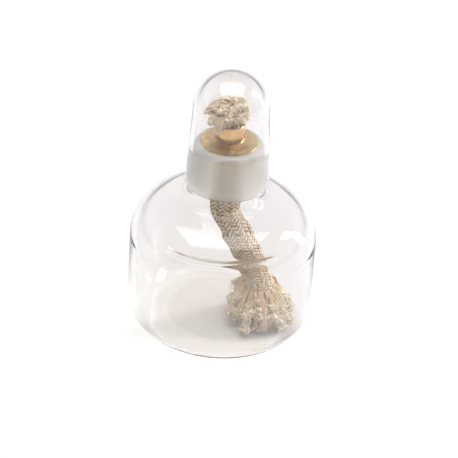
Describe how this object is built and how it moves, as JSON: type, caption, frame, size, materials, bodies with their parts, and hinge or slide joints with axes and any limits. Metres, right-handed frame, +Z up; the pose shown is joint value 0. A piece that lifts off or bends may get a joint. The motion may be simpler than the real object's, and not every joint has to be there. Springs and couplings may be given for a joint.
{
  "type": "alcohol burner",
  "caption": "Glass spirit lamp with a domed ground-glass snuffer cap, a brass wick holder and a braided cotton wick frayed at its ends.",
  "frame": {"origin": "on the bench, at the middle of the fount's foot ring", "axes": "+Z up along the axis of fount, cap and wick tube; the wick's lower end leans towards +X"},
  "size_m": [0.08, 0.08, 0.1204],
  "materials": {
    "fount_glass": "clear, fire-polished, with a ground neck",
    "cap_glass": "clear, fire-polished, with a ground skirt",
    "disc_brass": "turned, satin",
    "tube_brass": "drawn, bright",
    "braided_cotton": "natural cotton braid",
    "core_cotton": "loose natural cotton",
    "frayed_cotton": "frayed natural cotton yarn"
  },
  "bodies": {
    "fount": {"fount": "fount_glass"},
    "cap": {"cap": "cap_glass"},
    "holder": {"holder_disc": "disc_brass", "wick_tube": "tube_brass"},
    "wick": {"wick_sleeve": "braided_cotton", "core_strand_1": "core_cotton", "core_strand_2": "core_cotton", "core_strand_3": "core_cotton", "core_strand_4": "core_cotton", "core_strand_5": "core_cotton", "core_strand_6": "core_cotton", "core_strand_7": "core_cotton", "upper_fray": "frayed_cotton", "lower_fray": "frayed_cotton"}
  },
  "joints": [
    {"name": "cap_lift", "type": "slide", "parent": "fount", "child": "cap", "axis": [0, 0, 1], "range_m": [0, 0.06]},
    {"name": "holder_lift", "type": "slide", "parent": "fount", "child": "holder", "axis": [0, 0, 1], "range_m": [0, 0.006]},
    {"name": "wick_feed", "type": "slide", "parent": "holder", "child": "wick", "axis": [0, 0, 1], "range_m": [0, 0.003]}
  ]
}
